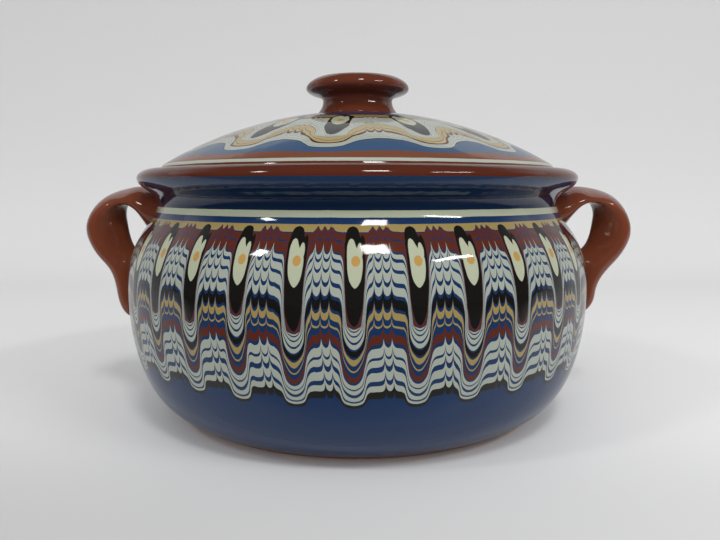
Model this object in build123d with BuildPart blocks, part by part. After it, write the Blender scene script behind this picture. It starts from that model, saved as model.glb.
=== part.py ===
"""Lidded earthenware cooking pot, in millimetres.

A thrown bowl with two pulled strap handles luted on under its rim, and a thrown lid with a thrown knob.
The origin is the centre of the foot's underside, +Z is up and the handles stand along X.
"""

import os
from math import sqrt

from build123d import *

os.makedirs("parts", exist_ok=True)

# Bowl
belly_radius = 130.0
belly_height = 71.5
foot_radius = 96.5
neck_radius = 113.0
neck_height = 118.5
wall_thickness = 7.5
base_thickness = 9.0
floor_corner = 16.0  # how far inside the foot the flat floor ends
heel_radius_share = 0.495  # the wall turns up from the foot, between foot and belly
heel_height_share = 0.155
flank_radius_share = 0.885
flank_height_share = 0.52
shoulder_radius_share = 0.49  # the wall leans in, between neck and belly
shoulder_height_share = 0.67

# Rolled rim and the gallery inside it that carries the lid
rim_overhang = 10.6  # widest edge beyond the neck
rim_edge_rise = 13.1  # widest edge above the neck
rim_top_rise = 18.0  # inner lip above the neck
crown_radius_share = 0.68  # rounded top between gallery and widest edge
crown_height_share = 0.81
ledge_width = 7.4
gallery_depth = 5.2
lip_round = 1.4

# Lid
lid_gap = 1.2  # between the lid's edge and the gallery wall
lid_rise = 31.9  # dome above its edge
lid_edge = 6.4  # height of the edge
lid_edge_round = 3.6
lid_thickness = 6.2
collar_gap = 1.6  # between the lid's collar and the bowl's throat
collar_thickness = 5.0
collar_depth = 9.0
collar_round = 1.6

# Lid knob
knob_root_radius = 24.0
knob_neck_radius = 20.0
knob_radius = 29.6
knob_height = 21.2
knob_dish = 1.8
knob_neck_share = 0.37  # heights as shares of the knob's height
knob_underside_share = 0.58
knob_edge_share = 0.7
knob_shoulder_share = 0.91
knob_underside_radius_share = 0.93  # radii as shares of the knob's radius
knob_shoulder_radius_share = 0.88
knob_rim_radius_share = 0.66

# Handles: an oval strap that leaves the neck under the rim and is pressed down on the belly
handle_reach = 29.4  # widest point of the strap beyond the belly
handle_rise = 9.1  # top of the strap above the neck
tail_drop = 22.0  # end of the strap below the belly's widest line
root_width = 32.0
strap_width = 29.0
tail_width = 23.0

rim_radius = neck_radius + rim_overhang
rim_edge_height = neck_height + rim_edge_rise
rim_top = neck_height + rim_top_rise
throat_radius = neck_radius - wall_thickness
gallery_radius = throat_radius + ledge_width
ledge_height = rim_top - gallery_depth
upward = (0, 1)
outward = (1, 0)


def between(start, end, share):
    return start + (end - start) * share


# The bowl's outside shape as one filled form, which also cuts the handles' roots
with BuildPart() as bowl_form:
    with BuildSketch(Plane.YZ) as outside:
        with BuildLine():
            foot = (foot_radius, 0)
            heel = (
                between(foot_radius, belly_radius, heel_radius_share),
                heel_height_share * belly_height,
            )
            flank = (
                between(foot_radius, belly_radius, flank_radius_share),
                flank_height_share * belly_height,
            )
            belly = (belly_radius, belly_height)
            shoulder = (
                between(neck_radius, belly_radius, shoulder_radius_share),
                between(belly_height, neck_height, shoulder_height_share),
            )
            neck = (neck_radius, neck_height)
            rim_edge = (rim_radius, rim_edge_height)
            crown = (
                between(gallery_radius, rim_radius, crown_radius_share),
                between(rim_edge_height, rim_top, crown_height_share),
            )
            lip = (gallery_radius, rim_top)
            Line((0, 0), foot)
            Spline(foot, heel, flank, belly, tangents=[(2, 1), upward])
            Spline(belly, shoulder, neck, tangents=[upward, upward])
            Spline(neck, rim_edge, tangents=[upward, upward])
            Spline(rim_edge, crown, lip, tangents=[upward, (-1, 0)])
            Line(lip, (0, rim_top))
            Line((0, rim_top), (0, 0))
        make_face()
    revolve(axis=Axis.Z)

# Bowl: the form hollowed out, with the throat and the gallery that the lid drops into
with BuildPart() as bowl:
    add(bowl_form.part)
    with BuildSketch(Plane.YZ) as hollow:
        with BuildLine():
            floor_edge = (foot_radius - floor_corner, base_thickness)
            inner_flank = (flank[0] - wall_thickness, flank[1])
            inner_belly = (belly_radius - wall_thickness, belly_height)
            inner_shoulder = (shoulder[0] - wall_thickness, shoulder[1])
            throat = (throat_radius, neck_height)
            Line((0, base_thickness), floor_edge)
            Spline(floor_edge, inner_flank, inner_belly, tangents=[outward, upward])
            Spline(inner_belly, inner_shoulder, throat, tangents=[upward, upward])
            Polyline(
                throat,
                (throat_radius, ledge_height),
                (gallery_radius, ledge_height),
                (gallery_radius, rim_top),
                (0, rim_top),
                (0, base_thickness),
            )
        make_face()
    revolve(axis=Axis.Z, mode=Mode.SUBTRACT)
    lip_edges = bowl.edges().filter_by(GeomType.CIRCLE).group_by(Axis.Z)[-1]
    fillet(lip_edges, lip_round)
bowl.part.label = "bowl"
export_step(bowl.part, "parts/bowl.step")

# Right handle: oval sections, each spanning from the strap's inner line to its outer line.
# Radial places run from the neck (upper sections) or the belly (lower ones) out to the widest point,
# heights from the tail's end up to the top of the strap, and widths come from the root, strap or tail.
handle_radius = belly_radius + handle_reach
handle_top = neck_height + handle_rise
tail_end = belly_height - tail_drop
# Each row: outer radius, outer height, inner radius, inner height, width, share of that width
upper_strap_shares = [
    (-0.09, 0.92, -0.09, 0.584, root_width, 1.0),
    (0.15, 0.945, 0.15, 0.685, root_width, 0.95),
    (0.35, 0.99, 0.345, 0.82, root_width, 0.92),
    (0.565, 0.978, 0.47, 0.864, strap_width, 1.0),
    (0.81, 0.914, 0.552, 0.81, strap_width, 1.0),
    (1.0, 0.73, 0.55, 0.717, strap_width, 1.0),
]
lower_strap_shares = [
    (0.945, 0.589, 0.225, 0.608, strap_width, 0.98),
    (0.785, 0.49, 0.085, 0.529, strap_width, 0.95),
    (0.59, 0.407, -0.2, 0.448, strap_width, 0.9),
    (0.435, 0.329, -0.245, 0.359, tail_width, 1.1),
    (0.35, 0.23, -0.285, 0.25, tail_width, 1.0),
    (0.26, 0.128, -0.32, 0.147, tail_width, 0.92),
    (0.075, 0.047, -0.355, 0.083, tail_width, 0.76),
    (-0.164, 0.0, -0.43, 0.045, tail_width, 0.56),
]


def strap_plane(inner, outer):
    across = outer - inner
    return Plane(origin=inner + across / 2, x_dir=across, z_dir=across.cross(Vector(0, 1, 0)))


with BuildPart() as right_handle:
    centres = []
    for wall_radius, shares in ((neck_radius, upper_strap_shares), (belly_radius, lower_strap_shares)):
        for outer_r, outer_z, inner_r, inner_z, width, width_share in shares:
            inner_point = Vector(
                between(wall_radius, handle_radius, inner_r), 0, between(tail_end, handle_top, inner_z)
            )
            outer_point = Vector(
                between(wall_radius, handle_radius, outer_r), 0, between(tail_end, handle_top, outer_z)
            )
            with BuildSketch(strap_plane(inner_point, outer_point)):
                Ellipse((outer_point - inner_point).length / 2, width * width_share / 2)
            centres.append((inner_point + outer_point) / 2)
    with BuildLine() as centre_line:
        Spline(*centres)
    sweep(path=centre_line.wires()[0], multisection=True)
    add(bowl_form.part, mode=Mode.SUBTRACT)
right_handle.part.label = "right_handle"
export_step(right_handle.part, "parts/right_handle.step")

# Left handle: the same strap on the other side
with BuildPart() as left_handle:
    mirror(right_handle.part, about=Plane.YZ)
left_handle.part.label = "left_handle"
export_step(left_handle.part, "parts/left_handle.step")

# Lid: a spherical dome on a flat seat, with a collar that drops into the throat
lid_radius = gallery_radius - lid_gap
collar_radius = throat_radius - collar_gap
collar_bore = collar_radius - collar_thickness
edge_top = ledge_height + lid_edge
dome_top = edge_top + lid_rise
dome_radius = (lid_radius**2 + lid_rise**2) / (2 * lid_rise)
dome_centre = dome_top - dome_radius


def dome_height(radius, thickness):
    return dome_centre + sqrt((dome_radius - thickness) ** 2 - radius**2)


knob_seat = dome_height(knob_root_radius, 0)
with BuildPart() as lid:
    with BuildSketch(Plane.XZ) as lid_profile:
        with BuildLine():
            half_way = (knob_root_radius + lid_radius) / 2
            underside_edge = (collar_bore, dome_height(collar_bore, lid_thickness))
            underside_middle = (collar_bore / 2, dome_height(collar_bore / 2, lid_thickness))
            underside_top = (0, dome_height(0, lid_thickness))
            Line((0, knob_seat), (knob_root_radius, knob_seat))
            ThreePointArc(
                (knob_root_radius, knob_seat),
                (half_way, dome_height(half_way, 0)),
                (lid_radius, edge_top),
            )
            Polyline(
                (lid_radius, edge_top),
                (lid_radius, ledge_height),
                (collar_radius, ledge_height),
                (collar_radius, ledge_height - collar_depth),
                (collar_bore, ledge_height - collar_depth),
                underside_edge,
            )
            ThreePointArc(underside_edge, underside_middle, underside_top)
            Line(underside_top, (0, knob_seat))
        make_face()
        fillet(lid_profile.vertices().group_by(Axis.X)[-1].sort_by(Axis.Y)[-1], lid_edge_round)
        fillet(lid_profile.vertices().group_by(Axis.Y)[0], collar_round)
    revolve(axis=Axis.Z)
lid.part.label = "lid"
export_step(lid.part, "parts/lid.step")

# Knob: a waisted stem that flares into a thick round-edged disc with a dished top
with BuildPart() as lid_knob:
    with BuildSketch(Plane.XZ) as knob_profile:
        with BuildLine():
            knob_top = knob_seat + knob_height
            root = (knob_root_radius, knob_seat)
            waist = (knob_neck_radius, knob_seat + knob_neck_share * knob_height)
            underside = (
                knob_underside_radius_share * knob_radius,
                knob_seat + knob_underside_share * knob_height,
            )
            knob_edge = (knob_radius, knob_seat + knob_edge_share * knob_height)
            knob_shoulder = (
                knob_shoulder_radius_share * knob_radius,
                knob_seat + knob_shoulder_share * knob_height,
            )
            knob_rim = (knob_rim_radius_share * knob_radius, knob_top)
            Line((0, knob_seat), root)
            Spline(root, waist, tangents=[(-1, 1), upward])
            Spline(waist, underside, knob_edge, tangents=[upward, upward])
            Spline(knob_edge, knob_shoulder, knob_rim, tangents=[upward, (-1, 0)])
            Spline(knob_rim, (0, knob_top - knob_dish), tangents=[(-1, 0), (-1, 0)])
            Line((0, knob_top - knob_dish), (0, knob_seat))
        make_face()
    revolve(axis=Axis.Z)
lid_knob.part.label = "lid_knob"
export_step(lid_knob.part, "parts/lid_knob.step")
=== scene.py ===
import math

import bmesh
import bpy
import numpy as np
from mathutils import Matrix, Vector


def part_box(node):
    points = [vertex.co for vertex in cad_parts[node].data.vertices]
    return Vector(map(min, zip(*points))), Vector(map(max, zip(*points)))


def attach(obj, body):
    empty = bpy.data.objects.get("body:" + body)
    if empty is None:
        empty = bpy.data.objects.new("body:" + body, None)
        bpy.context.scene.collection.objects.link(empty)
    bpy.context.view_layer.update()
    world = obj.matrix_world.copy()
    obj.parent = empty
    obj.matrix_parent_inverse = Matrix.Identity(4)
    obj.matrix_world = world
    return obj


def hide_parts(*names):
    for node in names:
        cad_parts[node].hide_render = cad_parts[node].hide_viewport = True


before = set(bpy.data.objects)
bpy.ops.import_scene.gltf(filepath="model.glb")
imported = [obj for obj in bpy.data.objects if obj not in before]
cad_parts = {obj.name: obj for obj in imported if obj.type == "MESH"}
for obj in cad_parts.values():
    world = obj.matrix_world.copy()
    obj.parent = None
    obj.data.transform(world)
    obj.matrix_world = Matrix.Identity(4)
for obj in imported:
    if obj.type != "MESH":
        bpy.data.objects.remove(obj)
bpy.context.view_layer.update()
print("frame loaded")


# Smooth line through points, with set directions at its ends
def curveThrough(points, startWay=None, endWay=None, steps=14):
    spots = np.array(points, float)
    gaps = np.linalg.norm(np.diff(spots, axis=0), axis=1)
    count = len(spots)
    startWay = spots[1] - spots[0] if startWay is None else np.array(startWay, float)
    endWay = spots[-1] - spots[-2] if endWay is None else np.array(endWay, float)
    rows, right = np.eye(count), np.zeros_like(spots)
    right[0] = startWay / np.linalg.norm(startWay)
    right[-1] = endWay / np.linalg.norm(endWay)
    for i in range(1, count - 1):
        before, after = gaps[i - 1], gaps[i]
        rows[i, i - 1 : i + 2] = after, 2 * (before + after), before
        right[i] = 3 * (
            after / before * (spots[i] - spots[i - 1]) + before / after * (spots[i + 1] - spots[i])
        )
    slopes = np.linalg.solve(rows, right)
    line = []
    for i in range(count - 1):
        for t in np.linspace(0, 1, steps, endpoint=False):
            line.append(
                (1 - t) ** 2 * (1 + 2 * t) * spots[i]
                + t * (1 - t) ** 2 * gaps[i] * slopes[i]
                + t * t * (3 - 2 * t) * spots[i + 1]
                - t * t * (1 - t) * gaps[i] * slopes[i + 1]
            )
    return line + [spots[-1]]


# Trims both runs at their common corner and joins them with a short round
def joinRound(first, second, radius, steps=5, longestTrim=0.98):
    first, second = [np.array(p, float) for p in first], [np.array(p, float) for p in second]
    corner = first[-1]

    def trim(run):
        left = radius
        while np.linalg.norm(run[-2] - run[-1]) <= left and len(run) > 2:
            left -= np.linalg.norm(run[-2] - run[-1])
            run = run[:-1]
        step = run[-2] - run[-1]
        return run[:-1] + [run[-1] + step * min(left / np.linalg.norm(step), longestTrim)]

    first, second = trim(first), trim(second[::-1])[::-1]
    shares = np.linspace(0, 1, steps + 2)[1:-1]
    arc = [(1 - t) ** 2 * first[-1] + 2 * t * (1 - t) * corner + t * t * second[0] for t in shares]
    return first + arc + second


def joinRuns(runs, rounds):
    line = [np.array(p, float) for p in runs[0]]
    for run, radius in zip(runs[1:], rounds):
        line = joinRound(line, run, radius)
    return line


def straight(start, end, steps=6):
    start, end = np.array(start, float), np.array(end, float)
    return [start + (end - start) * t / steps for t in range(steps + 1)]


# A socket that takes sums and products, each as a Math node of its tree
class Wire:
    def __init__(self, tree, socket):
        self.tree, self.socket = tree, socket

    def __add__(self, other):
        return calc(self.tree, "ADD", self, other)

    def __sub__(self, other):
        return calc(self.tree, "SUBTRACT", self, other)

    def __rsub__(self, other):
        return calc(self.tree, "SUBTRACT", other, self)

    def __mul__(self, other):
        return calc(self.tree, "MULTIPLY", self, other)

    def __truediv__(self, other):
        return calc(self.tree, "DIVIDE", self, other)

    def __abs__(self):
        return calc(self.tree, "ABSOLUTE", self)

    __radd__, __rmul__ = __add__, __mul__


def plug(tree, slot, value):
    if isinstance(value, Wire):
        tree.links.new(value.socket, slot)
    else:
        slot.default_value = value


def make(tree, kind, inputs=None, output=0, **settings):
    node = tree.nodes.new(kind)
    for name, value in settings.items():
        setattr(node, name, value)
    for name, value in (inputs or {}).items():
        plug(tree, node.inputs[name], value)
    return Wire(tree, node.outputs[output])


def calc(tree, kind, *values):
    return make(tree, "ShaderNodeMath", dict(enumerate(values)), operation=kind)


def vector(tree, x=0.0, y=0.0, z=0.0):
    return make(tree, "ShaderNodeCombineXYZ", {"X": x, "Y": y, "Z": z})


def vectorCalc(tree, kind, first, second):
    return make(tree, "ShaderNodeVectorMath", {0: first, 1: second}, operation=kind)


def scaleVector(tree, first, amount):
    return make(tree, "ShaderNodeVectorMath", {0: first, "Scale": amount}, operation="SCALE")


def split(tree, value, kind="ShaderNodeSeparateXYZ"):
    node = tree.nodes.new(kind)
    plug(tree, node.inputs[0], value)
    return [Wire(tree, o) for o in node.outputs[:3]]


def noise(tree, place, scale, detail):
    return make(tree, "ShaderNodeTexNoise", {"Vector": place, "Scale": scale, "Detail": detail}, "Fac")


def newTree(name, kind, inputs, outputs):
    tree = bpy.data.node_groups.new(name, kind)
    for label, socketKind, default in inputs:
        socket = tree.interface.new_socket(label, in_out="INPUT", socket_type=socketKind)
        if default is not None:
            socket.default_value = default
    for label, socketKind in outputs:
        tree.interface.new_socket(label, in_out="OUTPUT", socket_type=socketKind)
    start = tree.nodes.new("NodeGroupInput")
    end = tree.nodes.new("NodeGroupOutput")
    return tree, {s.name: Wire(tree, s) for s in start.outputs if s.name}, end


def store(tree, shape, name, value, kind="FLOAT"):
    return make(
        tree,
        "GeometryNodeStoreNamedAttribute",
        {"Geometry": shape, "Name": name, "Value": value},
        data_type=kind,
        domain="POINT",
    )


def named(tree, name, kind="FLOAT"):
    return make(tree, "GeometryNodeInputNamedAttribute", {"Name": name}, data_type=kind)


# Ring of points for a sweep: each point knows its share of the full turn
def turnRing(tree, points):
    ring = make(tree, "GeometryNodeCurvePrimitiveCircle", {"Resolution": points, "Radius": 1.0})
    return store(tree, ring, "turn", make(tree, "GeometryNodeInputIndex") / points)


# The given line as a curve that remembers where its points were
def knownLine(tree, mesh):
    line = make(tree, "GeometryNodeMeshToCurve", {"Mesh": mesh})
    return store(tree, line, "spot", make(tree, "GeometryNodeInputPosition"), "FLOAT_VECTOR")


def closeTree(tree, end, shape, place, material, mergeDistance=1e-6):
    shape = make(tree, "GeometryNodeSetPosition", {"Geometry": shape, "Position": place})
    shape = make(tree, "GeometryNodeMergeByDistance", {"Geometry": shape, "Distance": mergeDistance})
    shape = make(tree, "GeometryNodeSetShadeSmooth", {"Geometry": shape})
    shape = make(tree, "GeometryNodeRealizeInstances", {"Geometry": shape})
    shape = make(tree, "GeometryNodeSetMaterial", {"Geometry": shape, "Material": material})
    plug(tree, end.inputs["Geometry"], shape)
    return tree


# Throws a profile: turns a line in the XZ plane about the Z axis and dents the wall a little
def makeThrown():
    inputs = [
        ("Geometry", "NodeSocketGeometry", None),
        ("Turns", "NodeSocketInt", 192),
        ("Wobble", "NodeSocketFloat", 0.0),
        ("Wobble Scale", "NodeSocketFloat", 12.0),
        ("Wobble Level", "NodeSocketFloat", 0.7),  # noise above this leaves the wall alone
        ("Material", "NodeSocketMaterial", None),
    ]
    outputs = [("Geometry", "NodeSocketGeometry")]
    tree, given, end = newTree("thrown", "GeometryNodeTree", inputs, outputs)
    profile = knownLine(tree, given["Geometry"])
    ring = turnRing(tree, given["Turns"])
    shape = make(tree, "GeometryNodeCurveToMesh", {"Curve": ring, "Profile Curve": profile})
    radius, _, height = split(tree, named(tree, "spot", "FLOAT_VECTOR"))
    angle = named(tree, "turn") * math.tau
    across, along = calc(tree, "SINE", angle), calc(tree, "COSINE", angle)
    sample = vector(tree, across * radius, along * radius, height)
    dents = noise(tree, sample, given["Wobble Scale"], detail=1.0) - given["Wobble Level"]
    inset = calc(tree, "MINIMUM", dents * given["Wobble"], 0.0)
    radius = calc(tree, "MAXIMUM", radius + inset, 0.0)
    place = vector(tree, across * radius, along * radius, height)
    return closeTree(tree, end, shape, place, given["Material"])


# Pulls a strap: ovals that taper to a thinner inner edge, from the sizes and the lean kept on a line
def makeStrap():
    inputs = [
        ("Geometry", "NodeSocketGeometry", None),
        ("Ring Points", "NodeSocketInt", 48),
        ("Taper", "NodeSocketFloat", 0.5),
        ("Taper Gain", "NodeSocketFloat", 0.4),  # evens out the width that a taper adds
        ("Material", "NodeSocketMaterial", None),
    ]
    outputs = [("Geometry", "NodeSocketGeometry")]
    tree, given, end = newTree("strap", "GeometryNodeTree", inputs, outputs)
    line = knownLine(tree, given["Geometry"])
    ring = turnRing(tree, given["Ring Points"])
    shape = make(
        tree, "GeometryNodeCurveToMesh", {"Curve": line, "Profile Curve": ring, "Fill Caps": True}
    )
    angle = named(tree, "turn") * math.tau
    outward, taper = calc(tree, "COSINE", angle), given["Taper"]
    fullness = (outward * taper + 1.0) / (taper * taper * given["Taper Gain"] + 1.0)
    width = named(tree, "halfWidth") * calc(tree, "SINE", angle) * fullness
    depth = named(tree, "halfDepth") * outward
    leanSine, leanCosine = [calc(tree, kind, named(tree, "lean")) for kind in ("SINE", "COSINE")]
    side = vector(tree, y=width * leanCosine - depth * leanSine)
    face = scaleVector(
        tree, named(tree, "across", "FLOAT_VECTOR"), depth * leanCosine + width * leanSine
    )
    place = vectorCalc(tree, "ADD", named(tree, "spot", "FLOAT_VECTOR"), face)
    place = vectorCalc(tree, "ADD", place, side)
    return closeTree(tree, end, shape, place, given["Material"])


# Runs a tree on a line of points and leaves a plain mesh with its faces outward
def grow(name, line, tree, values, floats=None, vectors=None):
    mesh = bpy.data.meshes.new(name + "Line")
    mesh.from_pydata([tuple(p) for p in line], [(i, i + 1) for i in range(len(line) - 1)], [])
    for label, data in (floats or {}).items():
        kept = mesh.attributes.new(label, "FLOAT", "POINT").data
        kept.foreach_set("value", np.array(data, float))
    for label, data in (vectors or {}).items():
        kept = mesh.attributes.new(label, "FLOAT_VECTOR", "POINT").data
        kept.foreach_set("vector", np.array(data, float).ravel())
    piece = bpy.data.objects.new(name, mesh)
    bpy.context.scene.collection.objects.link(piece)
    modifier = piece.modifiers.new(name, "NODES")
    modifier.node_group = tree
    sockets = {s.name: s.identifier for s in tree.interface.items_tree if s.in_out == "INPUT"}
    for label, value in values.items():
        modifier[sockets[label]] = value
    evaluated = piece.evaluated_get(bpy.context.evaluated_depsgraph_get())
    made = bpy.data.meshes.new_from_object(evaluated)
    piece.modifiers.remove(modifier)
    shape = bmesh.new()
    shape.from_mesh(made)
    if shape.calc_volume(signed=True) < 0:
        bmesh.ops.reverse_faces(shape, faces=shape.faces)
    shape.to_mesh(made)
    shape.free()
    made.name = name
    piece.data = made
    print(name, len(made.polygons), "faces")
    return piece


def toFrame(line):
    return [(r * unit, 0.0, z * unit) for r, z in line]


# Linear colour from sRGB levels
def linear(red, green, blue):
    return tuple(((c / 255 + 0.055) / 1.055) ** 2.4 for c in (red, green, blue)) + (1.0,)


# Slip and clay colours, some holding painted shade or a painted sheen as noted
slip = {
    "blue": linear(24, 48, 84),
    "field": linear(16, 43, 80),
    # The lid's blue: its own blue slip painted lighter, a painted sheen for the reflection of a pale
    # ceiling
    "sky": linear(61, 85, 115),
    # Blue slip of the neck, painted darker than the blue below the cream line: painted shade under the
    # rim's overhang
    "neck": linear(13, 31, 56),
    "collar": linear(30, 50, 78),
    "white": linear(155, 161, 150),
    "milk": linear(170, 175, 162),
    "line": linear(168, 173, 150),
    "cream": linear(170, 175, 150),
    "ochre": linear(147, 129, 80),
    "sand": linear(165, 150, 106),
    "pale": linear(104, 119, 139),
    "orange": linear(176, 139, 78),
    "black": linear(21, 20, 18),
    "brown": linear(84, 39, 29),
    # Brown band near the lid's edge: its brown glaze painted lighter, a painted sheen for the
    # reflection of a pale ceiling
    "band": linear(116, 72, 53),
    "clay": linear(120, 69, 48),
    "glaze": linear(93, 47, 32),
    "rim": linear(81, 38, 25),
    "strap": linear(112, 58, 39),
}


# Value along a curve drawn through pairs of input and output
def follow(wire, pairs):
    tree = wire.tree
    (low, high), (bottom, top) = [(min(v), max(v)) for v in zip(*pairs)]
    node = tree.nodes.new("ShaderNodeFloatCurve")
    node.mapping.extend = "HORIZONTAL"
    curve = node.mapping.curves[0]
    for i, (x, y) in enumerate(sorted(pairs)):
        spot = ((x - low) / (high - low), (y - bottom) / (top - bottom))
        if i < 2:  # a new curve has two points
            curve.points[i].location = spot
        else:
            curve.points.new(*spot)
    for point in curve.points:
        point.handle_type = "AUTO_CLAMPED"
    node.mapping.update()
    plug(tree, node.inputs["Value"], (wire - low) / (high - low))
    return Wire(tree, node.outputs[0]) * (top - bottom) + bottom


# Mask with a soft edge where the value passes zero
def soft(wire, width):
    node = wire.tree.nodes.new("ShaderNodeMath")
    node.operation, node.use_clamp = "MULTIPLY_ADD", True
    for slot, value in zip(node.inputs, (wire, 1 / width, 0.5)):
        plug(wire.tree, slot, value)
    return Wire(wire.tree, node.outputs[0])


# One colour over another. The Mix node's colours are its sockets 6 and 7, and its output 2.
def over(mask, below, above):
    tree = mask.tree
    return make(tree, "ShaderNodeMix", {0: mask, 6: below, 7: above}, output=2, data_type="RGBA")


# Colour of each band from its lower edge upward, on as many ramps as it needs
def bandColour(wire, rows, perRamp=16, seam=0.05):
    colour = None
    for first in range(0, len(rows), perRamp):
        chunk = rows[first : first + perRamp]
        low, high = chunk[0][0], chunk[-1][0] + 1
        node = wire.tree.nodes.new("ShaderNodeValToRGB")
        ramp = node.color_ramp
        ramp.interpolation = "CONSTANT"
        ramp.elements.remove(ramp.elements[1])
        ramp.elements[0].position, ramp.elements[0].color = 0, slip[chunk[0][1]]
        for edge, name in chunk[1:]:
            ramp.elements.new((edge - low) / (high - low)).color = slip[name]
        plug(wire.tree, node.inputs[0], (wire - low) / (high - low))
        made = Wire(wire.tree, node.outputs[0])
        colour = made if colour is None else over(soft(wire - low, seam), colour, made)
    return colour


# Three random values for each whole number
def chances(wire):
    colour = make(wire.tree, "ShaderNodeTexWhiteNoise", {"W": wire}, "Color", noise_dimensions="1D")
    return split(wire.tree, colour, "ShaderNodeSeparateColor")


# What the combed slip of bowl and lid has in common
combedLook = {
    "waverScale": 0.07,
    "rippleScale": 0.09,
    "frayScale": 0.9,
    "drawnOut": (1.0, 1.0, 0.25),  # ripple and fray run long in height
    "tipLevel": 0.42,  # chance that leaves a drop at its usual length
    "toothFall": 0.8,  # how sharply the pull of a tooth falls off
    "ovalEdge": 0.2,
    "gapSeed": 40.5,
}


# Combed slip: bands laid round the pot, drops dragged down across them, teeth combed up in the gaps
def makeSlip(name, look, fromAxis):
    inputs, outputs = [("Place", "NodeSocketVector", None)], [("Colour", "NodeSocketColor")]
    tree, given, end = newTree(name, "ShaderNodeTree", inputs, outputs)
    x, y, z = split(tree, given["Place"])
    angle = calc(tree, "ARCTAN2", x, y * -1.0) * (180 / math.pi)
    height = look["reach"] - calc(tree, "SQRT", x * x + y * y) if fromAxis else z
    fromMiddle = height - look["middle"]
    drawnOut = vectorCalc(tree, "MULTIPLY", given["Place"], combedLook["drawnOut"])

    def wander(scale, place):
        return noise(tree, place, combedLook[scale], detail=2.0) - 0.5

    # Place within the motif. Each drop and each gap has chances of its own.
    step = 360 / look["motifs"]
    turn = (angle - look["phase"]) / step
    dropIndex = calc(tree, "FLOOR", turn + 0.5)
    gapIndex = calc(tree, "FLOOR", turn)
    swayChance, leanChance, tipChance = chances(dropIndex)
    gapChance = chances(gapIndex + combedLook["gapSeed"])[0]
    offset = (turn - dropIndex) * step + (swayChance - 0.5) * look["sway"]
    offset = offset + wander("waverScale", given["Place"]) * look["waver"]
    offset = offset + (leanChance - 0.5) * look["lean"] * fromMiddle
    # Height of the band that was dragged or combed to this place
    deeper = (tipChance - combedLook["tipLevel"]) * look["tipVary"] * follow(height, look["tipZone"])
    dragged = height + deeper * follow(abs(offset), look["near"])
    sideways = abs(offset) / follow(height, look["spread"])
    source = dragged + follow(dragged, look["drag"]) * follow(sideways, look["pull"])
    between = (turn - gapIndex - 0.5) * step + (gapChance - 0.5) * look["sway"]
    for comb in look["combs"]:
        place = between - comb["centre"] - fromMiddle * comb["slant"]
        count, spacing = comb["teeth"], comb["spacing"]
        tooth = calc(tree, "MAXIMUM", calc(tree, "FLOOR", place / spacing + count / 2), 0.0)
        tooth = calc(tree, "MINIMUM", tooth, count - 1.0) - (count - 1) / 2
        away = abs(place - tooth * spacing)
        reach = calc(tree, "POWER", away / comb["width"], combedLook["toothFall"]) * -1.0
        source = source - calc(tree, "EXPONENT", reach) * follow(height, comb["lift"])
    ripple = wander("rippleScale", drawnOut) * look["ripple"]
    ripple = ripple + wander("frayScale", drawnOut) * look["fray"]
    source = source + ripple * follow(height, look["rippleZone"])
    source = calc(tree, "MINIMUM", source, calc(tree, "MAXIMUM", dragged, look["dragTop"]))
    colour = bandColour(source, look["bands"])

    # Black drop, cream eye and orange dot
    def streak(at, width, lean):
        return soft(follow(at, look[width]) - abs(offset - follow(height, look[lean])), look["edge"])

    def oval(across, along, halfAcross, halfAlong):
        aside, upward = (offset - across) / halfAcross, (height - along) / halfAlong
        return soft(1.0 - aside * aside - upward * upward, combedLook["ovalEdge"])

    drop = streak(dragged, "dropWidth", "dropLean")
    for spot in look["lobes"]:
        drop = calc(tree, "MAXIMUM", drop, oval(*spot))
    eye = streak(height, "eyeWidth", "eyeLean")
    for spot in look["strokes"]:
        eye = calc(tree, "MAXIMUM", eye, oval(*spot))
    colour = over(drop, colour, slip["black"])
    colour = over(eye, colour, slip["cream"])
    colour = over(oval(*look["dot"]), colour, slip["orange"])
    plug(tree, end.inputs["Colour"], colour)
    return tree


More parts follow.
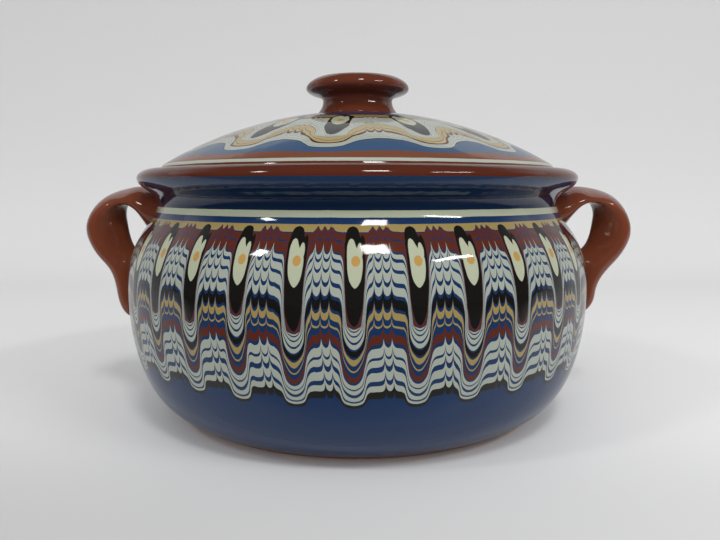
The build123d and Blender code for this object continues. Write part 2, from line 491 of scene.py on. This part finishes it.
# Heights in millimetres above the foot, angles in degrees from the middle of a drop or of a gap.
# Curves are pairs of height or angle and value, and bands are lower edge and colour. Lobes, strokes and
# dot are ovals: place across, height, half width and half height.
bowlSlip = {
    "motifs": 31,
    "phase": -0.3,
    "middle": 85.0,
    "sway": 0.8,
    "waver": 0.5,
    "lean": 0.016,
    "ripple": 1.1,
    "fray": 0.35,
    "edge": 0.1,
    "tipVary": 7.0,
    "tipZone": [(36, 0), (52, 0.7), (68, 1), (82, 0.7), (100, 0)],
    "spread": [(30, 1.1), (38, 1.14), (62, 1.15), (75, 1.0), (108, 1.0)],
    "pull": [
        (0, 1), (0.25, 0.992), (0.5, 0.965), (0.8, 0.91), (1.1, 0.83), (1.4, 0.72),
        (1.65, 0.58), (1.85, 0.4), (2.05, 0.22), (2.25, 0.09), (2.5, 0.03), (2.8, 0),
    ],
    "rippleZone": [(104, 1), (110, 0.4)],
    "near": [(2.0, 1), (3.8, 0)],
    "drag": [
        (26, 0), (31, 2), (33, 3.8), (34.3, 5.4), (36.1, 7.9), (38.5, 11.2), (42.4, 13.5),
        (45.6, 16.3), (50.9, 18.2), (56.6, 18.6), (60.8, 21), (69.7, 29.7), (71.1, 35.4), (72, 35.5),
    ],
    "dragTop": 106.4,
    "combs": [
        {
            "teeth": 3, "spacing": 1.6, "centre": -0.35, "slant": 0.004, "width": 0.2,
            "lift": [
                (64, 0), (69, 2), (76, 4.4), (84, 5), (105, 5), (108, 3.6), (110.2, 0.6), (111, 0),
            ],
        },
        {
            "teeth": 2, "spacing": 1.55, "centre": -0.1, "slant": -0.03, "width": 0.2,
            "lift": [(35, 0), (39, 2.5), (45, 4.2), (62, 4.6), (66, 3.6), (70, 0)],
        },
        {
            "teeth": 3, "spacing": 1.35, "centre": -0.45, "slant": 0.0, "width": 0.24,
            "lift": [(103.5, 0), (106, 1.6), (107.6, 3.8), (109.6, 3.6), (110.4, 0.8), (110.8, 0)],
        },
    ],
    # The neck band holds painted shade: darker than the blue below it, under the rim's overhang
    "bands": [
        (0, "field"), (38.1, "black"), (41.3, "white"), (44.0, "blue"), (46.0, "white"),
        (49.9, "blue"), (52.4, "white"), (55.3, "blue"), (56.5, "white"), (60.2, "blue"),
        (61.9, "brown"), (65.7, "blue"), (68.6, "ochre"), (69.4, "blue"), (71.9, "ochre"),
        (74.8, "blue"), (76.3, "black"), (80.2, "blue"), (81.8, "white"), (85.4, "blue"),
        (87.2, "white"), (91.0, "blue"), (92.4, "white"), (95.3, "blue"), (96.8, "white"),
        (98.5, "blue"), (99.4, "brown"), (103.7, "blue"), (104.5, "brown"), (107.0, "blue"),
        (107.6, "ochre"), (110.8, "blue"), (113.6, "line"), (116.56, "neck"), (126.3, "collar"),
    ],
    "dropWidth": [
        (70.4, -0.1), (71.4, 0.5), (73, 0.9), (75.2, 1.2), (77.8, 1.45), (80.8, 1.62), (86.6, 1.78),
        (92.2, 1.9), (96.5, 2.0), (101.6, 2.0), (104.4, 1.75), (106.4, 1.4), (108, 1.25),
        (109.3, 0.9), (110.1, -0.1),
    ],
    "dropLean": [(100, 0), (104.4, -0.2), (107, -0.5), (110, -0.5)],
    "lobes": [(1.5, 102.2, 0.5, 4.3)],
    "eyeWidth": [
        (85.1, -0.1), (85.8, 0.35), (87, 0.75), (89, 1.15), (92, 1.4), (96, 1.5), (98.5, 1.4),
        (101, 1.0), (103, 0.7), (104.4, 0.45), (105.2, -0.1),
    ],
    "eyeLean": [(85, 0.05), (96, 0), (98.5, -0.15), (101, -0.55), (103, -0.75), (105, -0.8)],
    "strokes": [(0.95, 100.0, 0.55, 3.4)],
    "dot": (0.15, 96.1, 0.85, 2.15),
}
# On the lid the height is measured inward from a circle, so that the drops run outward
lidSlip = {
    "reach": 150.0,  # radius of that circle
    "motifs": 13,
    "phase": -7.2,
    "middle": 75.0,
    "sway": 3.0,
    "waver": 2.0,
    "lean": 0.06,
    "ripple": 1.0,
    "fray": 0.15,
    "edge": 0.3,
    "tipVary": 4.0,
    "tipZone": [(44, 0), (52, 0.6), (60, 1), (72, 0.7), (90, 0)],
    "spread": [(44, 1.25), (58, 1.15), (70, 1.0), (100, 1.1)],
    "pull": [
        (0, 1), (0.8, 0.98), (1.8, 0.92), (3, 0.81), (4, 0.66), (4.8, 0.48), (5.8, 0.29),
        (7.5, 0.13), (11, 0),
    ],
    "rippleZone": [(42, 0.25), (54, 1)],
    "near": [(4, 1), (9, 0)],
    "drag": [
        (44, 0), (46.5, 2.6), (49.3, 8.3), (53.2, 11.6), (53.8, 12.4), (59.5, 15.8), (61.5, 20),
        (62.9, 26), (64, 26),
    ],
    "dragTop": 89.0,
    "combs": [
        {
            "teeth": 3, "spacing": 2.6, "centre": 0.6, "slant": 0.02, "width": 0.42,
            "lift": [(58, 0), (62, 1.4), (66, 4), (92, 4.6), (97, 3), (100, 0)],
        },
    ],
    # The lid's lighter blue and brown bands hold a painted sheen for the reflection of a pale ceiling
    "bands": [
        (0, "glaze"), (39.3, "milk"), (40.6, "band"), (46.2, "sky"), (57.4, "black"),
        (57.9, "milk"), (59.6, "pale"), (59.9, "milk"), (61.4, "pale"), (61.7, "milk"),
        (63.2, "pale"), (63.5, "milk"), (64.3, "brown"), (66.4, "sand"), (69.6, "brown"),
        (70.0, "sand"), (75.2, "brown"), (75.8, "milk"), (77.6, "blue"), (77.9, "milk"),
        (79.8, "pale"), (80.2, "milk"), (82.2, "blue"), (82.5, "milk"), (84.6, "pale"),
        (85.0, "milk"), (87.4, "pale"), (87.8, "milk"), (89.6, "brown"), (91.6, "ochre"),
        (94.6, "brown"), (95.0, "ochre"), (98.6, "blue"),
    ],
    "dropWidth": [
        (62.6, -0.3), (63.8, 1.3), (66.6, 2.5), (71.5, 3.7), (80, 4.8), (88, 5.2), (94, 4.6),
        (98, 2.8), (100, -0.3),
    ],
    "dropLean": [(60, 0), (88, 0), (100, -0.8)],
    "lobes": [(4.2, 91.0, 1.6, 4.6)],
    "eyeWidth": [(76, -0.3), (78, 1.7), (82, 3.4), (86, 4.1), (90, 3.4), (94, 1.7), (96, -0.3)],
    "eyeLean": [(76, 0), (86, 0), (92, -1.2), (96, -1.8)],
    "strokes": [(2.2, 90.0, 1.3, 4.0)],
    "dot": (0.2, 85.0, 1.7, 2.3),
}

# Clear glaze on every piece, more uneven on clay that was worked by hand than on the wheel
glazeLook = {
    "drift": 0.12,
    "driftScale": 0.03,
    "unevenScale": 0.12,
    "unevenDepth": 0.002,
    "thrownUneven": 0.05,
    "workedUneven": 0.12,
    "roughness": 0.035,
    "roughnessDrift": 0.05,
    "bareRoughness": 0.75,
    "ior": 1.52,
    "zoneEdge": 0.1,
}
bareZone, slipZone, brownZone = 0.0, 1.0, 2.0  # kept along the profile of bowl and lid


# Shared glaze: colour drift where it runs thick or thin, and a fine unevenness of its surface
def makeGlaze():
    look = glazeLook
    inputs = [
        ("Place", "NodeSocketVector", None),
        ("Colour", "NodeSocketColor", None),
        ("Drift", "NodeSocketFloat", look["drift"]),
        ("Unevenness", "NodeSocketFloat", look["thrownUneven"]),
    ]
    outputs = [
        ("Colour", "NodeSocketColor"),
        ("Roughness", "NodeSocketFloat"),
        ("Normal", "NodeSocketVector"),
    ]
    tree, given, end = newTree("glaze", "ShaderNodeTree", inputs, outputs)
    cloud = noise(tree, given["Place"], look["driftScale"], detail=4.0)
    fine = noise(tree, given["Place"], look["unevenScale"], detail=1.0)
    value = (cloud - 0.5) * given["Drift"] + 1.0
    tone = make(tree, "ShaderNodeHueSaturation", {"Value": value, "Color": given["Colour"]})
    plug(tree, end.inputs["Colour"], tone)
    plug(tree, end.inputs["Roughness"], cloud * look["roughnessDrift"] + look["roughness"])
    relief = {"Strength": given["Unevenness"], "Distance": look["unevenDepth"], "Height": fine}
    plug(tree, end.inputs["Normal"], make(tree, "ShaderNodeBump", relief))
    return tree


def group(tree, shared, inputs):
    node = tree.nodes.new("ShaderNodeGroup")
    node.node_tree = shared
    for name, value in inputs.items():
        plug(tree, node.inputs[name], value)
    return {o.name: Wire(tree, o) for o in node.outputs}


glazeTree = makeGlaze()


# Glazed clay, brown all over or with a slip tree that paints its slip zone
def glazed(name, slipTree=None, brown="rim", unevenness="thrownUneven"):
    look = glazeLook
    material = bpy.data.materials.new(name)
    material.use_nodes = True
    tree = material.node_tree
    shader = tree.nodes["Principled BSDF"]
    shader.inputs["IOR"].default_value = look["ior"]
    place = scaleVector(tree, make(tree, "ShaderNodeTexCoord", output="Object"), 1 / unit)
    colour, bare = slip[brown], None
    if slipTree:
        zone = make(tree, "ShaderNodeAttribute", output="Fac", attribute_name="zone")
        colour = group(tree, slipTree, {"Place": place})["Colour"]
        brownPart = soft(zone - (slipZone + brownZone) / 2, look["zoneEdge"])
        colour = over(brownPart, colour, slip[brown])
        bare = soft((bareZone + slipZone) / 2 - zone, look["zoneEdge"])
        colour = over(bare, colour, slip["clay"])
    inputs = {"Place": place, "Colour": colour, "Unevenness": look[unevenness]}
    coat = group(tree, glazeTree, inputs)
    roughness = coat["Roughness"]
    if bare:
        roughness = calc(tree, "MAXIMUM", roughness, bare * look["bareRoughness"])
    plug(tree, shader.inputs["Base Color"], coat["Colour"])
    plug(tree, shader.inputs["Roughness"], roughness)
    plug(tree, shader.inputs["Normal"], coat["Normal"])
    return material


# Bowl: sizes in millimetres, places in the profile as radius and height
bowlLook = {
    "bellyRadius": 130.0,
    "bellyHeight": 71.5,
    "foot": (96.5, 0.0),
    "footWay": (2, 1),  # direction of the wall as it leaves the foot
    "heel": (113.08, 11.08),
    "flank": (126.15, 37.18),
    "shoulder": (121.33, 102.99),
    "neck": (113.0, 118.5),
    "rimEdge": (123.6, 131.6),
    "crown": (120.18, 135.57),
    "lip": (112.9, 136.5),
    "ledgeHeight": 131.3,
    "throatRadius": 105.5,
    "wall": 7.5,
    "floorEdge": (80.5, 9.0),
    "footRound": 1.8,
    "lipRound": 1.4,
    "ledgeRound": 1.2,
    "bareBelow": 3.4,
    "brownFrom": 131.0,
    "wobble": 0.5,
    "turns": 192,
}
look = bowlLook
bowlLow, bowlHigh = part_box("bowl")
unit = (bowlHigh.x - bowlLow.x) / 2 / look["bellyRadius"]  # a millimetre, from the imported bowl

bowlGlaze = glazed("bowlGlaze", makeSlip("bowlSlip", bowlSlip, False))
lidGlaze = glazed("lidGlaze", makeSlip("lidSlip", lidSlip, True))
knobGlaze = glazed("knobGlaze", brown="glaze", unevenness="workedUneven")
strapGlaze = glazed("strapGlaze", brown="strap", unevenness="workedUneven")
print("glazes made")
thrown, strap = makeThrown(), makeStrap()

# Outside from the foot to the lip, then inside down to the floor
up, down, inward = (0, 1), (0, -1), (-1, 0)
belly = (look["bellyRadius"], look["bellyHeight"])
inside = [(r - look["wall"], z) for r, z in (look["neck"], look["shoulder"], belly, look["flank"])]
outer = curveThrough([look["foot"], look["heel"], look["flank"], belly], look["footWay"], up)
outer += curveThrough([belly, look["shoulder"], look["neck"]], up, up)[1:]
outer += curveThrough([look["neck"], look["rimEdge"]], up, up)[1:]
outer += curveThrough([look["rimEdge"], look["crown"], look["lip"]], up, inward)[1:]
ledgeOuter = (look["lip"][0], look["ledgeHeight"])
ledgeInner = (look["throatRadius"], look["ledgeHeight"])
cavity = straight(ledgeInner, inside[0], steps=4)
cavity += curveThrough(inside[:3], down, down)[1:]
cavity += curveThrough(inside[2:] + [look["floorEdge"]], down, inward)[1:]
bowlRuns = [
    straight((0, 0), look["foot"]),
    outer,
    straight(look["lip"], ledgeOuter),
    straight(ledgeOuter, ledgeInner),
    cavity,
]
rounds = [look["footRound"], look["lipRound"], look["ledgeRound"], look["ledgeRound"]]
bowlLine = joinRuns(bowlRuns, rounds)
bowlLine += straight(look["floorEdge"], (0, look["floorEdge"][1]))[1:]
topmost = max(range(len(bowlLine)), key=lambda i: bowlLine[i][1])


def bowlZone(i):
    height = bowlLine[i][1]
    if i > topmost or height > bowlLook["brownFrom"]:
        return brownZone
    return bareZone if height < bowlLook["bareBelow"] else slipZone


bowl = grow(
    "bowl",
    toFrame(bowlLine),
    thrown,
    {"Turns": look["turns"], "Wobble": look["wobble"] * unit, "Material": bowlGlaze},
    floats={"zone": [bowlZone(i) for i in range(len(bowlLine))]},
)
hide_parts("bowl")
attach(bowl, "pot")

# Lid, from under the knob over the dome to its edge, collar and underside
lidLook = {
    "radius": 111.7,
    "seat": 131.3,
    "edgeTop": 137.7,
    "rise": 31.9,
    "thickness": 6.2,
    "collarRadius": 103.9,
    "collarBore": 98.9,
    "collarEnd": 122.3,
    "edgeRound": 3.6,
    "seatRound": 1.0,
    "collarRound": 1.6,
    "wobble": 0.4,
    "turns": 192,
}
# Knob, with places in its profile as shares of its radius and height
knobLook = {
    "rootRadius": 24.0,
    "neckRadius": 20.0,
    "radius": 29.6,
    "height": 21.2,
    "dish": 1.8,
    "rootWay": (-1, 1),  # direction of the stem as it leaves the lid
    "neck": 0.37,
    "underside": (0.93, 0.58),
    "edge": (1.0, 0.7),
    "shoulder": (0.88, 0.91),
    "rim": (0.66, 1.0),
    "wobble": 0.3,
    "turns": 96,
}
look = lidLook
domeRadius = (look["radius"] ** 2 + look["rise"] ** 2) / (2 * look["rise"])
domeCentre = look["edgeTop"] + look["rise"] - domeRadius


def dome(startRadius, endRadius, depth, steps=40):
    radii = np.linspace(startRadius, endRadius, steps + 1)
    return [(r, domeCentre + math.sqrt((domeRadius - depth) ** 2 - r * r)) for r in radii]


upperDome = dome(knobLook["rootRadius"], look["radius"], 0)
lowerDome = dome(look["collarBore"], 0, look["thickness"])
knobSeat = upperDome[0][1]
corners = [
    upperDome[-1],
    (look["radius"], look["seat"]),
    (look["collarRadius"], look["seat"]),
    (look["collarRadius"], look["collarEnd"]),
    (look["collarBore"], look["collarEnd"]),
    lowerDome[0],
]
lidRuns = [straight((0, knobSeat), upperDome[0], steps=3) + upperDome[1:]]
lidRuns += [straight(start, end) for start, end in zip(corners, corners[1:])]
lidRuns.append(lowerDome)
rounds = [look["edgeRound"]] + 2 * [look["seatRound"]] + 3 * [look["collarRound"]]
lidLine = joinRuns(lidRuns, rounds)
widest = max(range(len(lidLine)), key=lambda i: lidLine[i][0])
lid = grow(
    "lid",
    toFrame(lidLine),
    thrown,
    {"Turns": look["turns"], "Wobble": look["wobble"] * unit, "Material": lidGlaze},
    floats={"zone": [slipZone if i < widest else brownZone for i in range(len(lidLine))]},
)
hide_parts("lid")
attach(lid, "lid")

# The knob's profile, from its root on the lid to its dished top
look = knobLook


def knobSpot(radiusShare, heightShare):
    return (knobLook["radius"] * radiusShare, knobSeat + knobLook["height"] * heightShare)


root = (look["rootRadius"], knobSeat)
waist = (look["neckRadius"], knobSeat + look["neck"] * look["height"])
knobEdge, knobRim = knobSpot(*look["edge"]), knobSpot(*look["rim"])
dish = (0, knobSeat + look["height"] - look["dish"])
knobLine = straight((0, knobSeat), root, steps=3)
knobLine += curveThrough([root, waist], look["rootWay"], up)[1:]
knobLine += curveThrough([waist, knobSpot(*look["underside"]), knobEdge], up, up)[1:]
knobLine += curveThrough([knobEdge, knobSpot(*look["shoulder"]), knobRim], up, inward)[1:]
knobLine += curveThrough([knobRim, dish], inward, inward)[1:]
knob = grow(
    "lidKnob",
    toFrame(knobLine),
    thrown,
    {"Turns": look["turns"], "Wobble": look["wobble"] * unit, "Material": knobGlaze},
)
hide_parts("lid_knob")
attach(knob, "lid")

# Handles, each pulled and pressed on by hand.
# Rows from root to tail: outer radius and height, inner radius and height, width
handleLook = {
    "rightRows": [
        (110.6, 121.3, 118.6, 99.0, 27.0),
        (119.8, 123.3, 122.0, 103.6, 27.5),
        (129.0, 126.8, 128.6, 113.5, 28.0),
        (139.4, 126.2, 134.4, 117.0, 28.6),
        (151.4, 121.4, 138.3, 112.8, 29.0),
        (159.1, 107.2, 138.6, 105.9, 29.0),
        (158.4, 95.9, 136.6, 97.0, 28.4),
        (154.3, 87.9, 132.6, 90.8, 27.6),
        (149.0, 81.2, 125.2, 84.5, 26.4),
        (144.0, 75.0, 124.6, 77.5, 25.0),
        (140.8, 67.5, 124.6, 69.0, 23.4),
        (139.2, 59.6, 124.6, 61.5, 21.2),
        (133.8, 53.6, 124.2, 56.5, 17.6),
        (126.0, 50.5, 123.4, 53.5, 13.0),
    ],
    "leftRows": [
        (110.6, 121.3, 119.4, 96.0, 27.0),
        (119.8, 123.3, 123.0, 100.5, 27.5),
        (128.8, 126.8, 128.2, 110.5, 28.0),
        (138.4, 125.7, 133.4, 115.6, 28.6),
        (149.8, 120.9, 136.2, 111.6, 29.0),
        (158.3, 106.2, 136.0, 104.8, 29.0),
        (156.7, 95.3, 134.2, 96.4, 28.4),
        (152.2, 87.2, 130.8, 90.0, 27.6),
        (146.5, 80.0, 125.2, 83.5, 26.4),
        (143.6, 73.4, 124.6, 76.0, 25.2),
        (142.2, 65.6, 124.6, 67.0, 23.6),
        (140.3, 57.4, 124.6, 59.2, 21.6),
        (135.6, 51.4, 124.4, 54.2, 18.0),
        (127.0, 48.8, 123.4, 51.6, 13.4),
    ],
    "ringPoints": 64,
    "taper": 0.5,
    "lean": 16.0,  # degrees, at the top of the strap
    "leanFrom": 98.0,
    "leanFull": 126.0,
    "leastDepth": 1 / 3,  # share of the upright strap's depth
}


def pullStrap(name, rows, side):
    look = handleLook
    rows = np.array(curveThrough(rows, steps=6)) * unit
    outerRadius, outerHeight, innerRadius, innerHeight, width = rows.T
    middlePlane = np.zeros_like(width)
    outerLine = np.stack([side * outerRadius, middlePlane, outerHeight], 1)
    innerLine = np.stack([side * innerRadius, middlePlane, innerHeight], 1)
    across, halfWidth = (outerLine - innerLine) / 2, width / 2
    half = np.linalg.norm(across, axis=1)
    rise = (outerHeight / unit - look["leanFrom"]) / (look["leanFull"] - look["leanFrom"])
    rise = np.clip(rise, 0, 1)
    lean = math.radians(look["lean"]) * rise * rise * (3 - 2 * rise)
    # A leaning strap is thinner, so that it keeps its outline from the front
    squared = half**2 - (halfWidth * np.sin(lean)) ** 2
    depth = np.sqrt(np.maximum(squared, (half * look["leastDepth"]) ** 2)) / np.cos(lean)
    return grow(
        name,
        (outerLine + innerLine) / 2,
        strap,
        {"Ring Points": look["ringPoints"], "Taper": look["taper"], "Material": strapGlaze},
        floats={"halfWidth": halfWidth, "halfDepth": depth, "lean": lean},
        vectors={"across": across / half[:, None]},
    )


for node, label, side in (("right_handle", "right", 1), ("left_handle", "left", -1)):
    handle = pullStrap(label + "Handle", handleLook[label + "Rows"], side)
    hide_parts(node)
    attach(handle, "pot")
print("pieces made")

# Table and backdrop in one sweep, in metres. Its grey holds painted light and shade: it changes along Y
# and grows lighter to the right. Its mirror image in the glaze fades towards the dark side of the room,
# a painted shade seen only in reflections.
stageLook = {
    "halfWidth": 8.0,
    "front": -8.0,
    "back": 1.0,
    "bend": 0.5,
    "bendFrom": 0.08,  # angle of the bend's first step
    "bendSteps": 16,
    "height": 1.2,
    # Painted light and shade: the table's grey along Y, and lighter to the right by sideways
    "paintedShade": [(-0.6, 0.69), (-0.2, 0.69), (0, 0.86), (0.4, 0.83), (1.0, 0.595)],
    "sideways": [(-0.2, 0.8), (0, 0.3), (0.4, 0.05), (1.0, 0)],
    "aside": 0.25,
    # Painted shade seen only in the glaze: the table darker in front in its reflections
    "mirrored": [(-0.4, 0), (-0.21, 0.1), (-0.165, 0.35), (-0.13, 0.8)],
    "roughness": 0.6,
}
look = stageLook
sweep = [(look["front"], 0.0), (look["back"] - look["bend"], 0.0)]
for a in np.linspace(look["bendFrom"], math.pi / 2, look["bendSteps"]):
    alongY = look["back"] - look["bend"] * (1 - math.sin(a))
    sweep.append((alongY, look["bend"] * (1 - math.cos(a))))
sweep.append((look["back"], look["height"]))
points = [(x, y, z) for y, z in sweep for x in (-look["halfWidth"], look["halfWidth"])]
faces = [(2 * i, 2 * i + 1, 2 * i + 3, 2 * i + 2) for i in range(len(sweep) - 1)]
tableMesh = bpy.data.meshes.new("table")
tableMesh.from_pydata(points, [], faces)
tableMesh.polygons.foreach_set("use_smooth", [True] * len(faces))
table = bpy.data.objects.new("table", tableMesh)
bpy.context.scene.collection.objects.link(table)
tableMaterial = bpy.data.materials.new("tableWhite")
tableMaterial.use_nodes = True
tree = tableMaterial.node_tree
tableShader = tree.nodes["Principled BSDF"]
x, y, z = split(tree, make(tree, "ShaderNodeTexCoord", output="Object"))
glossy = make(tree, "ShaderNodeLightPath", output="Is Glossy Ray")
# Painted light and shade: grey along Y, lighter to the right, and darker in front in reflections only
aside = calc(tree, "MAXIMUM", calc(tree, "MINIMUM", x, look["aside"]), -look["aside"])
paintedShade = follow(y, look["paintedShade"]) * (aside * follow(y, look["sideways"]) + 1.0)
paintedShade = paintedShade * (1.0 - glossy * (1.0 - follow(y, look["mirrored"])))
grey = make(tree, "ShaderNodeCombineColor", {0: paintedShade, 1: paintedShade, 2: paintedShade})
plug(tree, tableShader.inputs["Base Color"], grey)
tableShader.inputs["Roughness"].default_value = look["roughness"]
tableMesh.materials.append(tableMaterial)

# Camera
cameraLook = {
    "place": (0.0014, -0.4034, 0.12474),
    "pitch": 6.6,  # degrees down
    "lens": 34.07,
    "sensor": 36,
    "nearest": 0.01,
}
cameraData = bpy.data.cameras.new("camera")
cameraData.lens = cameraLook["lens"]
cameraData.sensor_width = cameraLook["sensor"]
cameraData.clip_start = cameraLook["nearest"]
camera = bpy.data.objects.new("camera", cameraData)
camera.location = cameraLook["place"]
camera.rotation_euler = (math.radians(90 - cameraLook["pitch"]), 0, 0)
bpy.context.scene.collection.objects.link(camera)
bpy.context.scene.camera = camera
bpy.context.scene.view_settings.view_transform = "Standard"

# Light: a pale room, brightest on the camera's side and dark in the glaze, with lamps that glint in it
roomLook = {
    "front": (1.18, 1.18, 1.19, 1),
    "back": (0.28, 0.28, 0.285, 1),
    "frontFrom": -0.15,
    "frontLean": 0.3,
    "frontFade": 1.4,
    "pale": (0.6, 0.6, 0.61, 1),
    "dark": (0.04, 0.042, 0.047, 1),
    "paleFrom": 0.15,  # in the glaze the room is pale behind this, and up to paleTop
    "paleTop": 0.62,
    "paleFade": 0.3,
    "seen": (0.63, 0.63, 0.635, 1),
    "strength": 1.0,
    "lampDistance": 2.2,
    "lampAim": (0, 0, 0.1),
    "lamps": [  # azimuth, elevation, width, height, power
        (12, 54.5, 0.36, 0.4, 11),
        (-56, 42, 0.2, 0.24, 4.5),
        (52, 37, 0.72, 0.1, 8),
    ],
}
look = roomLook
world = bpy.data.worlds.new("room")
bpy.context.scene.world = world
world.use_nodes = True
tree = world.node_tree
background = tree.nodes["Background"]
x, y, z = split(tree, make(tree, "ShaderNodeTexCoord", output="Generated"))
frontPart = soft(look["frontFrom"] - y - z * look["frontLean"], look["frontFade"])
light = over(frontPart, look["back"], look["front"])
glossy = make(tree, "ShaderNodeLightPath", output="Is Glossy Ray")
palePart = soft(y - look["paleFrom"], look["paleFade"])
palePart = palePart * (1.0 - soft(z - look["paleTop"], look["paleFade"]))
mirrored = over(palePart, look["dark"], look["pale"])
seen = make(tree, "ShaderNodeLightPath", output="Is Camera Ray")
plug(tree, background.inputs["Color"], over(seen, over(glossy, light, mirrored), look["seen"]))
background.inputs["Strength"].default_value = look["strength"]
for number, (azimuth, elevation, width, height, power) in enumerate(look["lamps"]):
    data = bpy.data.lights.new(f"lamp{number}", "AREA")
    data.shape, data.size, data.size_y, data.energy = "RECTANGLE", width, height, power
    lamp = bpy.data.objects.new(data.name, data)
    a, e = math.radians(azimuth), math.radians(elevation)
    way = Vector((math.sin(a) * math.cos(e), -math.cos(a) * math.cos(e), math.sin(e)))
    lamp.location = way * look["lampDistance"] + Vector(look["lampAim"])
    lamp.rotation_euler = way.to_track_quat("Z", "Y").to_euler()
    bpy.context.scene.collection.objects.link(lamp)
print("stage, camera and light made")
